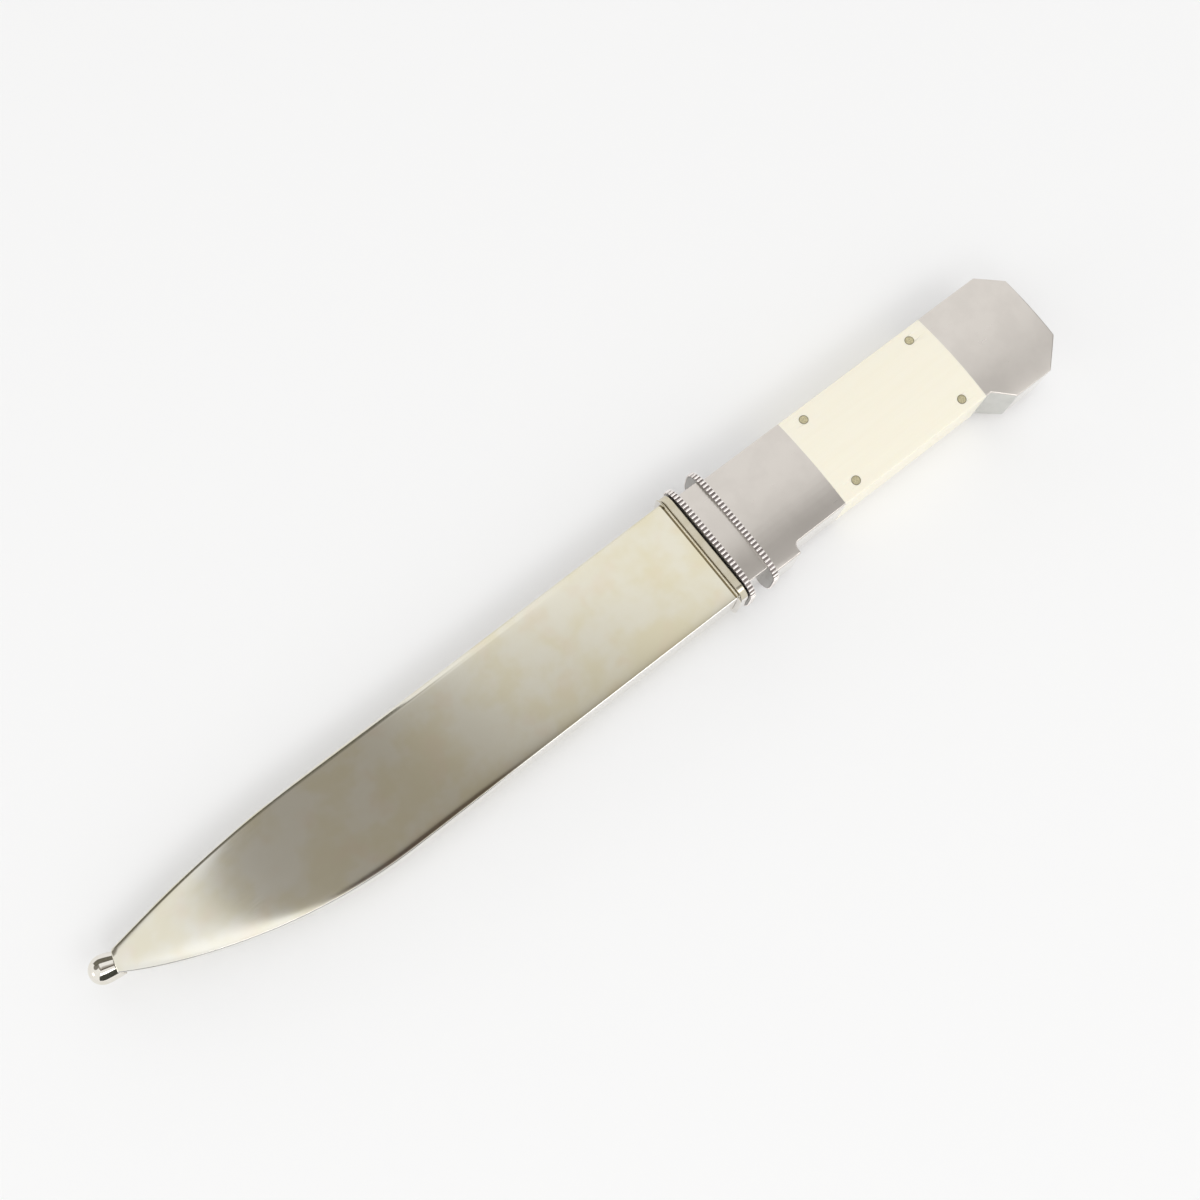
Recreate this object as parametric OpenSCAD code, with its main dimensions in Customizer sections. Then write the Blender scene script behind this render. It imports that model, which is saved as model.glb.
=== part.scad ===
// Bowie-type knife lying in its closed metal sheath.
// +X runs along the knife toward the pommel, +Y toward the spine, +Z up, away from the table.
// The cutting edge, the belly of the sheath and the pommel's hook are on the -Y side.
// All sizes are in millimetres.

/* [Grip] */
// Width of the grip, spine side to edge side
grip_w = 31; // [28:0.5:35]
// Thickness of the grip at its edges
grip_t = 16.5; // [14:0.5:19]
// How far the grip's front and back faces swell above their edges
crown = 1.2; // [0.4:0.1:2]
// Length of the two scales
scale_len = 55; // [45:1:70]
// Diameter of the scale pins
pin_d = 2.8; // [2:0.1:3.4]
// Distance of the pin centres from the scales' long edges
pin_edge = 3.7; // [3:0.1:4.2]
// Distance of the pin centres from the scales' ends
pin_end = 6.8; // [4:0.1:12]

/* [Bolster] */
// Length of the bolster
bolster_len = 28.4; // [22:0.2:36]
// How far the lug stands out on the edge side
lug_drop = 3.2; // [2.2:0.1:4.6]
// Length of the lug
lug_len = 8.9; // [5:0.1:14]
// Radius of the cove behind the lug
cove_r = 1.5; // [0.6:0.1:2.1]

/* [Pommel] */
// Length of the pommel
pommel_len = 29.4; // [27:0.2:38]
// How far the pommel's hook stands out on the edge side
hook_drop = 5.5; // [3:0.1:8]
// Straight neck between the scales and the hook
neck_len = 1.9; // [1:0.1:4]
// Length of the slope from the neck out to the hook
hook_slope = 6; // [3:0.1:8]
// Corner cut off the pommel on the spine side
spine_corner = 6.8; // [3:0.1:9]
// Corner cut off the pommel on the hook side
hook_corner = 7.8; // [3:0.1:10]

/* [Guard] */
// Width of the milled collars
collar_w = 40.6; // [37:0.2:46]
// Height of the milled collars
collar_h = 21.2; // [20.4:0.2:26]
// Thickness of a milled collar
collar_t = 1.8; // [1.2:0.1:3]
// How square the collars' oval is, where 2 is an ellipse
collar_power = 4; // [2:0.1:6]
// Width of the flat at each collar's top and bottom, which the part lies on
flat_w = 8; // [4:0.5:12]
// Number of notches round a collar
notch_count = 80; // [60:4:120]
// Depth of a notch
notch_depth = 0.35; // [0.1:0.05:0.6]
// Width of the block between the collars
block_w = 32.4; // [29:0.2:35]
// Length of the block between the collars
block_len = 6.8; // [4:0.2:12]

/* [Blade and tang] */
// Length of the blade from the guard to the point
blade_len = 188; // [150:1:230]
// Width of the blade
blade_w = 29; // [26:0.5:31]
// Thickness of the blade's spine at the guard
blade_t = 5.5; // [4:0.1:6.5]
// Thickness of the blade's spine at the point
point_t = 1.6; // [0.8:0.1:2.4]
// Thickness of the cutting edge
edge_t = 0.5; // [0.2:0.1:0.7]
// Height of the point above the middle line
point_y = 6.5; // [4:0.1:8]
// Length of the clip, from the spine's corner to the point
clip_len = 62; // [40:1:80]
// Length over which the cutting edge sweeps up to the point
sweep_len = 77; // [70:1:90]
// Share of the blade's width that is ground to the edge
ground_share = 0.6; // [0.4:0.05:0.85]
// Length of the ricasso, which isn't ground
ricasso_len = 9; // [4:0.5:20]
// Width of the tang
tang_w = 16; // [12:0.5:17]
// Step from the blade's side down to the tang's side
tang_step = 0.25; // [0.1:0.05:0.6]
// How far the tang reaches into the pommel
tang_reach = 16; // [9:0.5:20]
// Diameter of the blind pins through the tang
blind_d = 3; // [2:0.1:4]
// Metal left over the end of a blind pin
blind_cover = 3; // [1.5:0.1:4.5]
// Distance of the pommel's blind pin from the tang's end
blind_end = 5; // [3:0.5:6]

/* [Sheath] */
// Room in the sheath past the blade's point
tip_room = 8.85; // [6:0.05:16]
// Width of the body at the mouth
sheath_w = 35.7; // [34.5:0.1:40]
// Thickness of the body at the mouth
sheath_t = 14.5; // [12:0.1:16]
// Thickness of the body at the tip
tip_t = 8.4; // [7:0.1:11]
// Thickness of the sheet metal
sheet_t = 0.9; // [0.6:0.1:1.1]
// How far the spine edge falls before it starts to curve
spine_fall = 0.8; // [0.2:0.1:1.2]
// Length of the curved end of the spine edge
spine_run = 65.4; // [50:0.2:90]
// Radius of the curved end of the spine edge
spine_radius = 360; // [280:5:500]
// Radius of the curved end of the belly edge
belly_radius = 157; // [130:1:190]
// Width of the body at the tip
tip_w = 6.3; // [5.6:0.1:8]
// Thickness of the plate that closes the tip
end_t = 1; // [0.6:0.1:2]
// Thickness of the slotted plate that closes the mouth
mouth_t = 1.2; // [0.8:0.1:2]

/* [Throat] */
// Length of the throat band
band_len = 2.4; // [2.2:0.1:12]
// Thickness of the throat band's metal
band_wall = 1.4; // [1.2:0.1:2.2]
// Radius of the band's corners
band_round = 3.5; // [2:0.1:4]
// Length of the bead behind the band
bead_len = 1; // [0.6:0.1:2.5]
// Thickness of the bead's metal
bead_wall = 1.9; // [1.3:0.1:2.4]

/* [Ball] */
// Diameter of the ball at the tip
ball_d = 8.2; // [7:0.1:11]
// How far the ball sits above the middle of the tip
ball_rise = 0.5; // [0:0.1:1]
// Diameter of the ball's dished seat
seat_d = 5.2; // [4.6:0.1:5.8]
// Length of the ball's seat
seat_len = 0.7; // [0.5:0.1:0.9]
// Diameter of the peg that holds the ball
peg_d = 2; // [1.4:0.1:2.6]
// How far the peg reaches into the ball
peg_reach = 4; // [2:0.1:5.5]

/* [Fits] */
// Gap between the front collar and the sheath's mouth
mouth_gap = 0.45; // [0.3:0.05:1]
// Gap round the blade in the sheath
blade_gap = 0.3; // [0.3:0.05:0.5]
// Gap all round each fixed fit
fit = 0.05; // [0.02:0.01:0.1]
// Gap at the end of a blind hole
end_gap = 0.3; // [0.1:0.1:0.6]

/* [Hidden] */
$fn = 64;

// Straight pieces that an arc of an outline is drawn with
arc_steps = 24;
// Distance that passes every piece
far = 100;
// How far a cut runs past the face that it opens
over = 1;
// Distance from the blade's blunt end to where its edges would meet
point_flat = 0.6;
// How deep the tang's bar runs into the ricasso
tang_root = 3;

// Colours
steel = "#D2D5D6";
nickel = "#CDC6B9";
sheath_metal = "#DDD6C1";
ivory = "#F2EBD5";
dark_pin = "#8F8A70";
wood = "#B58A5A";

// Places along X before the part is centred, where zero is the front end of the scales
half_w = grip_w / 2;
half_t = grip_t / 2;
face_z = half_t + crown;
face_r = (pow(half_w, 2) + pow(crown, 2)) / (2 * crown);
butt_x = scale_len + pommel_len;
tang_end = scale_len + tang_reach;
rear_x = -bolster_len;
block_x = rear_x - collar_t;
front_x = block_x - block_len;
guard_x = front_x - collar_t;
mouth_x = guard_x - mouth_gap;
hook_y = -half_w - hook_drop;

// The blade, measured from the guard
blade_half = blade_w / 2;
tang_t = blade_t - 2 * tang_step;
clip_start = blade_len - clip_len;
sweep_start = blade_len - sweep_len;
point_rise = point_y + blade_half;
sweep_r = (pow(sweep_len, 2) + pow(point_rise, 2)) / (2 * point_rise);

// The sheath, measured from its mouth
sheath_len = blade_len - mouth_gap + tip_room;
core_end = sheath_len - end_t;
edge_y = sheath_w / 2;
lean = atan(spine_fall / (sheath_len - spine_run));
spine_c = [sheath_len - spine_run - spine_radius * sin(lean), edge_y - spine_fall - spine_radius * cos(lean)];
spine_end_y = last(spine_edge(0, 0, sheath_len))[1];
belly_rise = spine_end_y - tip_w + edge_y;
belly_run = sqrt(belly_rise * (2 * belly_radius - belly_rise));
belly_c = [sheath_len - belly_run, belly_radius - edge_y];
ball_r = ball_d / 2;
ball_s = sheath_len + ball_r + fit;
ball_y = spine_end_y - tip_w / 2 + ball_rise;

// The part's origin is the middle of its underside
low_y = min(hook_y, -collar_w / 2);
high_y = collar_w / 2;
origin = [(butt_x + mouth_x - ball_s - ball_r) / 2, (low_y + high_y) / 2, -collar_h / 2];

function last(points) = points[len(points) - 1];
function reversed(points) = [for (i = [len(points) - 1 : -1 : 0]) points[i]];
function between(a, b, share) = a + (b - a) * share;
function arc(centre, r, from_a, to_a) =
    [for (i = [0 : arc_steps]) let (a = between(from_a, to_a, i / arc_steps)) centre + r * [cos(a), sin(a)]];

// The sheath's spine edge and belly edge, inset by a depth, between two distances from the mouth
function spine_edge(inset, from_s, to_s) =
    let (r = spine_radius - inset)
    concat([[from_s, edge_y - from_s * tan(lean) - inset / cos(lean)]],
           arc(spine_c, r, 90 - lean, acos((to_s - spine_c[0]) / r)));
function belly_edge(inset, from_s, to_s) =
    let (r = belly_radius - inset)
    concat([[from_s, inset - edge_y]],
           arc(belly_c, r, -90, -acos((to_s - belly_c[0]) / r)));
function sheath_outline(inset, to_s) =
    concat(spine_edge(inset, mouth_t, to_s), reversed(belly_edge(inset, mouth_t, to_s)));

// The blade's outline and its half thickness at a distance from the guard
sweep_c = [sweep_start, sweep_r - blade_half];
flat_s = blade_len - point_flat;
flat_y = between(point_y, blade_half, point_flat / clip_len);
blade_outline = concat([[0, blade_half], [clip_start, blade_half], [flat_s, flat_y]],
                       reversed(arc(sweep_c, sweep_r, -90, -acos((flat_s - sweep_start) / sweep_r))),
                       [[0, -blade_half]]);
function taper(s) = between(blade_t, point_t, s / blade_len) / 2;

// The two edges of the blade's hollow in the core, up to the end of the core, measured from the mouth
function from_mouth(points) = [for (p = points) p - [mouth_gap, 0]];
hollow_len = blade_len + blade_gap;
hollow_r = sweep_r + blade_gap;
hollow_top = concat([[mouth_t, blade_half + blade_gap]],
                    from_mouth([[clip_start, blade_half + blade_gap], [hollow_len, point_y + blade_gap],
                                [hollow_len, point_y]]),
                    [[core_end, point_y]]);
hollow_low = concat([[mouth_t, -blade_half - blade_gap]],
                    from_mouth(arc(sweep_c, hollow_r, -90, -acos((hollow_len - sweep_start) / hollow_r))),
                    from_mouth([[hollow_len, point_y]]),
                    [[core_end, point_y]]);

// Half heights at a distance from the mouth: outside, inside the sheet metal, and the blade's hollow
function outer_z(s) = between(sheath_t, tip_t, s / sheath_len) / 2;
function inner_z(s) = outer_z(s) - sheet_t;
function hollow_z(s) = taper(s + mouth_gap) + blade_gap;

// Corner arcs of a rectangle with round corners
function round_rect(w, h, r) =
    [for (q = [0 : 3], i = [0 : 6])
        let (a = 90 * q + 15 * i,
             corner = [q == 0 || q == 3 ? w / 2 - r : r - w / 2, q < 2 ? h / 2 - r : r - h / 2])
        corner + r * [cos(a), sin(a)]];

// The collars' milled outline: an oval with a flat top and bottom, walked in equal steps of its own length
flat_share = pow(1 - pow(flat_w / collar_w, collar_power), 1 / collar_power);
function oval_reach(w, h, a) =
    pow(pow(abs(cos(a)) * 2 / w, collar_power) + pow(abs(sin(a)) * 2 / h, collar_power), -1 / collar_power);
function oval_point(w, h, a) =
    let (reach = oval_reach(w, h / flat_share, a))
    [reach * cos(a), sign(sin(a)) * min(h / 2, reach * abs(sin(a)))];
function rim_point(turn, depth) =
    let (a = lookup(turn * last(rim_table)[0], rim_table))
    oval_point(collar_w - 2 * depth, collar_h - 2 * depth, a);
function rim_step(a) = norm(oval_point(collar_w, collar_h, a + 1) - oval_point(collar_w, collar_h, a));
rim_table = [for (a = 0, sum = 0; a <= 360; sum = sum + rim_step(a), a = a + 1) [sum, a]];
notch_corners = [[0, 0], [0.5, 0], [0.65, notch_depth], [0.85, notch_depth]];
milled_outline =
    [for (i = [0 : notch_count - 1], c = notch_corners) rim_point((i + c[0]) / notch_count, c[1])];

// Places a piece of the knife, or one of the sheath drawn from its mouth toward the tip
module on_knife() translate(-origin) children();
module on_sheath() translate([mouth_x, 0, 0] - origin) mirror([1, 0, 0]) children();

// Bar along X with a section drawn in Y and Z
module along_x(from_x, to_x) {
    translate([from_x, 0, 0]) rotate([90, 0, 90]) linear_extrude(to_x - from_x) children();
}

// Section of the grip, with its swollen faces, and a bar of it between two places along X
module grip_section(w) {
    intersection() {
        translate([0, face_z - face_r]) circle(face_r, $fn = 360);
        translate([0, face_r - face_z]) circle(face_r, $fn = 360);
        square([w, far], center = true);
    }
}
module grip_bar(from_x, to_x, w = far) {
    along_x(from_x, to_x) grip_section(w);
}

// Piece of the grip with an outline in X and Y
module grip_piece(outline) {
    intersection() {
        linear_extrude(far, center = true) polygon(outline);
        grip_bar(rear_x - over, butt_x + over);
    }
}

// Solid with an outline in X and Y, between two heights that change evenly along X
module tapered(outline, low_z, high_z) {
    ends = [-over, sheath_len + over];
    intersection() {
        linear_extrude(far, center = true) polygon(outline);
        rotate([90, 0, 0]) linear_extrude(far, center = true)
            polygon(concat([for (s = ends) [s, low_z(s)]], [for (s = reversed(ends)) [s, high_z(s)]]));
    }
}

// Room for the tang through a piece of the knife
module tang_slot(from_x, to_x) {
    along_x(from_x, to_x) square([tang_w + 2 * fit, tang_t + 2 * fit], center = true);
}

// Hole for a blind pin from the back, and the pin that fills it
bolster_pin_x = rear_x / 2;
pommel_pin_x = tang_end - blind_end;
module blind_bore(x, d, end_z) {
    translate([x, 0, -face_z - over]) cylinder(d = d, h = end_z + face_z + over);
}
module blind_hole(x) blind_bore(x, blind_d + 2 * fit, face_z - blind_cover);
module blind_pin(x) {
    intersection() {
        blind_bore(x, blind_d, face_z - blind_cover - end_gap);
        grip_bar(x - blind_d, x + blind_d);
    }
}

// The four scale pins, near the scales' corners and clear of the tang
module at_scale_pins() {
    row_y = half_w - pin_edge;
    for (x = [pin_end, scale_len - pin_end], y = [-row_y, row_y]) translate([x, y, 0]) children();
}

// What the grinder takes off one side: a flat along the straight edge, then a cone along the sweep
module ground_off() {
    ground_w = ground_share * blade_w;
    slope = (blade_t - edge_t) / 2 / ground_w;
    inner = ground_w + over;
    section = [[-over, edge_t / 2 - over * slope], [inner, edge_t / 2 + inner * slope],
               [-over, edge_t / 2 + inner * slope]];
    along_x(ricasso_len, sweep_start) translate([-blade_half, 0]) polygon(section);
    translate(sweep_c) rotate([0, 0, -90]) rotate_extrude(angle = 60)
        polygon([for (p = section) [sweep_r - p[0], p[1]]]);
}

module ground_blade() {
    difference() {
        tapered(blade_outline, function(s) -taper(s), function(s) taper(s));
        ground_off();
        mirror([0, 0, 1]) ground_off();
    }
}

module blade() {
    color(steel) on_knife() difference() {
        union() {
            translate([guard_x, 0, 0]) mirror([1, 0, 0]) ground_blade();
            along_x(guard_x - tang_root, tang_end) square([tang_w, tang_t], center = true);
        }
        blind_hole(bolster_pin_x);
        blind_hole(pommel_pin_x);
    }
}

module collar(x) {
    color(nickel) on_knife() difference() {
        along_x(x, x + collar_t) polygon(milled_outline);
        tang_slot(x - over, x + collar_t + over);
    }
}

module front_collar() collar(guard_x);

module rear_collar() collar(block_x);

module guard_block() {
    color(nickel) on_knife() difference() {
        grip_bar(front_x, block_x, block_w);
        tang_slot(front_x - over, block_x + over);
    }
}

module bolster() {
    lug_x = rear_x + lug_len;
    lug_y = -half_w - lug_drop;
    cove = arc([lug_x + cove_r, -half_w - cove_r], cove_r, 90, 180);
    front = [[lug_x, lug_y], [rear_x, lug_y], [rear_x, half_w]];
    outline = concat([[0, half_w], [0, -half_w]], cove, front);
    color(nickel) on_knife() difference() {
        grip_piece(outline);
        tang_slot(rear_x - over, over);
        blind_hole(bolster_pin_x);
    }
}

module bolster_pin() color(nickel) on_knife() blind_pin(bolster_pin_x);

module scale_half() {
    difference() {
        along_x(0, scale_len) intersection() {
            grip_section(grip_w);
            translate([-far / 2, 0]) square([far, far]);
        }
        tang_slot(-over, scale_len + over);
        at_scale_pins() cylinder(d = pin_d + 2 * fit, h = far, center = true);
    }
}

module scale_front() color(ivory) on_knife() scale_half();

module scale_back() color(ivory) on_knife() mirror([0, 0, 1]) scale_half();

module scale_pins() {
    color(dark_pin) on_knife() intersection() {
        at_scale_pins() cylinder(d = pin_d, h = far, center = true);
        grip_bar(0, scale_len);
    }
}

module pommel() {
    outline = [[scale_len, half_w], [butt_x - spine_corner, half_w], [butt_x, half_w - spine_corner],
               [butt_x, hook_y + hook_corner], [butt_x - hook_corner, hook_y],
               [scale_len + neck_len + hook_slope, hook_y], [scale_len + neck_len, -half_w],
               [scale_len, -half_w]];
    color(nickel) on_knife() difference() {
        grip_piece(outline);
        tang_slot(scale_len - over, tang_end + end_gap);
        blind_hole(pommel_pin_x);
    }
}

module pommel_pin() color(nickel) on_knife() blind_pin(pommel_pin_x);

module face_plate() {
    tapered(sheath_outline(0, sheath_len), function(s) inner_z(s), function(s) outer_z(s));
}

module sheath_front() color(sheath_metal) on_sheath() face_plate();

module sheath_back() color(sheath_metal) on_sheath() mirror([0, 0, 1]) face_plate();

// Strip of sheet metal along an edge of the sheath, between the two face plates
module side_wall(outside, inside) {
    tapered(concat(outside, reversed(inside)), function(s) -inner_z(s), function(s) inner_z(s));
}

module sheath_spine() {
    color(sheath_metal) on_sheath()
        side_wall(spine_edge(0, mouth_t, sheath_len), spine_edge(sheet_t, mouth_t, sheath_len));
}

module sheath_belly() {
    color(sheath_metal) on_sheath()
        side_wall(belly_edge(0, mouth_t, sheath_len), belly_edge(sheet_t, mouth_t, sheath_len));
}

module peg_hole() {
    translate([core_end - over, ball_y, 0]) rotate([0, 90, 0])
        cylinder(d = peg_d + 2 * fit, h = end_t + over + peg_reach + end_gap);
}

module sheath_tip() {
    outline = sheath_outline(sheet_t + fit, sheath_len);
    color(sheath_metal) on_sheath() difference() {
        intersection() {
            tapered(outline, function(s) -inner_z(s), function(s) inner_z(s));
            translate([core_end, -far / 2, -far / 2]) cube([end_t + over, far, far]);
        }
        peg_hole();
    }
}

module mouth_plate() {
    color(sheath_metal) on_sheath() along_x(0, mouth_t) difference() {
        square([sheath_w, sheath_t], center = true);
        square([blade_w + 2 * blade_gap, blade_t + 2 * blade_gap], center = true);
    }
}

// Ring round the sheath's mouth, with a wall of its own and round corners
module throat_ring(from_s, to_s, wall) {
    color(sheath_metal) on_sheath() along_x(from_s, to_s) difference() {
        polygon(round_rect(sheath_w + 2 * wall, sheath_t + 2 * wall, band_round));
        square([sheath_w + 2 * fit, sheath_t + 2 * fit], center = true);
    }
}

module throat_band() throat_ring(0, band_len, band_wall);

module throat_bead() throat_ring(band_len, band_len + bead_len, bead_wall);

module core_face() {
    tapered(sheath_outline(sheet_t + fit, core_end), function(s) hollow_z(s), function(s) inner_z(s) - fit);
}

module core_front() color(wood) on_sheath() core_face();

module core_back() color(wood) on_sheath() mirror([0, 0, 1]) core_face();

// Strip of the core beside the blade, between the core's two faces
module core_strip(outside, inside) {
    tapered(concat(outside, reversed(inside)), function(s) -hollow_z(s), function(s) hollow_z(s));
}

module core_spine() {
    color(wood) on_sheath()
        core_strip(spine_edge(sheet_t + fit, mouth_t, core_end), hollow_top);
}

module core_belly() {
    color(wood) on_sheath()
        core_strip(belly_edge(sheet_t + fit, mouth_t, core_end), hollow_low);
}

module ball_seat() {
    color(sheath_metal) on_sheath() difference() {
        translate([sheath_len, ball_y, 0]) rotate([0, 90, 0]) cylinder(d = seat_d, h = seat_len);
        translate([ball_s, ball_y, 0]) sphere(ball_r + fit);
        peg_hole();
    }
}

module tip_ball() {
    color(sheath_metal) on_sheath() difference() {
        translate([ball_s, ball_y, 0]) sphere(ball_r);
        peg_hole();
    }
}

module ball_peg() {
    color(nickel) on_sheath() translate([core_end, ball_y, 0]) rotate([0, 90, 0])
        cylinder(d = peg_d, h = end_t + peg_reach);
}

blade();
front_collar();
guard_block();
rear_collar();
bolster();
bolster_pin();
scale_front();
scale_back();
scale_pins();
pommel();
pommel_pin();
sheath_front();
sheath_back();
sheath_spine();
sheath_belly();
sheath_tip();
mouth_plate();
throat_band();
throat_bead();
core_front();
core_back();
core_spine();
core_belly();
ball_seat();
tip_ball();
ball_peg();
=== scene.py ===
"""Looks of a Bowie-type knife lying in its closed metal sheath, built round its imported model.

Lengths in the classes are millimetres in the knife's own frame: x is zero at the front end of the
grip scales and grows toward the pommel, y is zero on the middle line and grows toward the spine, and
z is zero in the middle plane. Inside the sheath, s is the distance from its mouth toward its tip.
"""

import logging
import math
from dataclasses import dataclass, field
from enum import Enum

import bmesh
import bpy
from mathutils import Matrix, Vector


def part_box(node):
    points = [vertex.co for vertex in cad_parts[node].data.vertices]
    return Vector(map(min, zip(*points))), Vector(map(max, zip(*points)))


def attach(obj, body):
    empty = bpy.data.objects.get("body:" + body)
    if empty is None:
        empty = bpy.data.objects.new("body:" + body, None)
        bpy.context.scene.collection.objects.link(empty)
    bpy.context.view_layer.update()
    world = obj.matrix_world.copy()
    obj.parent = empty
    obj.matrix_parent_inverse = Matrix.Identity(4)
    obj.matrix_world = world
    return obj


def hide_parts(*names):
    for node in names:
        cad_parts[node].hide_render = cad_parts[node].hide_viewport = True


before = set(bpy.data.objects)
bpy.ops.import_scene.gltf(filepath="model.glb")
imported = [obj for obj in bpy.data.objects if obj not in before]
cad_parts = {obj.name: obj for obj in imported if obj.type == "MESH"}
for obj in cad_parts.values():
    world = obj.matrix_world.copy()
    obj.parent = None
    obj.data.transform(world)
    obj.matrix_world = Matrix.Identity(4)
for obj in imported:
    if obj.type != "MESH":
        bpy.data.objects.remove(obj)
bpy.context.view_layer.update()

MM = 0.001
LOG = logging.getLogger("knife")
Material, Mesh, Piece = bpy.types.Material, bpy.types.Mesh, bpy.types.Object
Tree, Socket = bpy.types.NodeTree, bpy.types.NodeSocket


class Body(Enum):
    """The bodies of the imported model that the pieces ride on."""

    SHEATH = "sheath"
    KNIFE = "knife"


class Slot(Enum):
    """The record's material slots, given with each dressed piece."""

    NICKEL = "nickel_silver"
    SHEATH = "sheath_metal"
    SCALE = "ivory_scale"
    PIN = "pin_brass"


def find_origin() -> Vector:
    """Finds where the knife's own frame has its origin in the row frame, in metres."""
    low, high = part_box("scale_front")
    return Vector((low.x, (low.y + high.y) / 2, low.z))


ORIGIN = find_origin()
TO_ROW = Matrix.Translation(ORIGIN) @ Matrix.Scale(MM, 4)
# A ring is drawn in its own plane and then stood up: its X becomes Y, its Y becomes Z, its Z becomes X
STAND_UP = Matrix(((0, 0, 1, 0), (1, 0, 0, 0), (0, 1, 0, 0), (0, 0, 0, 1)))


def linear(colour: str) -> tuple[float, float, float, float]:
    """Turns an sRGB hex colour into linear RGBA.

    Args:
        colour: The colour, as #RRGGBB.

    Returns:
        The linear red, green, blue and an alpha of 1.
    """
    parts = [int(colour[i:i + 2], 16) / 255 for i in (1, 3, 5)]
    red, green, blue = (c / 12.92 if c <= 0.04045 else ((c + 0.055) / 1.055) ** 2.4 for c in parts)
    return red, green, blue, 1.0


def fill(tree: Tree, node: bpy.types.Node, inputs: dict | tuple) -> None:
    """Gives a node's inputs their values and links.

    Args:
        tree: The node's tree.
        node: The node.
        inputs: Values or output sockets, by input name or index, or in order.
    """
    pairs = inputs.items() if isinstance(inputs, dict) else enumerate(inputs)
    for key, value in pairs:
        if isinstance(value, Socket):
            tree.links.new(value, node.inputs[key])
        else:
            node.inputs[key].default_value = value


def add_node(tree: Tree, kind: str, inputs: dict | tuple = (), **settings: object) -> bpy.types.Node:
    """Adds a node to a tree with its settings, values and links.

    Args:
        tree: The tree that gets the node.
        kind: The node's type name.
        inputs: Values or output sockets, as fill takes them.
        settings: The node's own properties.

    Returns:
        The new node.
    """
    node = tree.nodes.new(kind)
    for name, value in settings.items():
        setattr(node, name, value)
    fill(tree, node, inputs)
    return node


MATH, VECTOR, MIX = "ShaderNodeMath", "ShaderNodeVectorMath", "ShaderNodeMix"
NOISE, RANGE, BUMP = "ShaderNodeTexNoise", "ShaderNodeMapRange", "ShaderNodeBump"


def start_material(name: str) -> tuple[Material, Tree, bpy.types.Node, Socket]:
    """Starts a material whose patterns are laid out in millimetres of the knife's own frame.

    Args:
        name: The material's name.

    Returns:
        The material, its tree, its shader and the place in millimetres.
    """
    material = bpy.data.materials.new(name)
    material.use_nodes = True
    tree = material.node_tree
    shader = tree.nodes["Principled BSDF"]
    place = add_node(tree, "ShaderNodeTexCoord").outputs["Object"]
    shifted = add_node(tree, VECTOR, (place, tuple(ORIGIN)), operation="SUBTRACT").outputs[0]
    in_mm = add_node(tree, VECTOR, (shifted, (1 / MM,) * 3), operation="MULTIPLY").outputs[0]
    return material, tree, shader, in_mm


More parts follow.
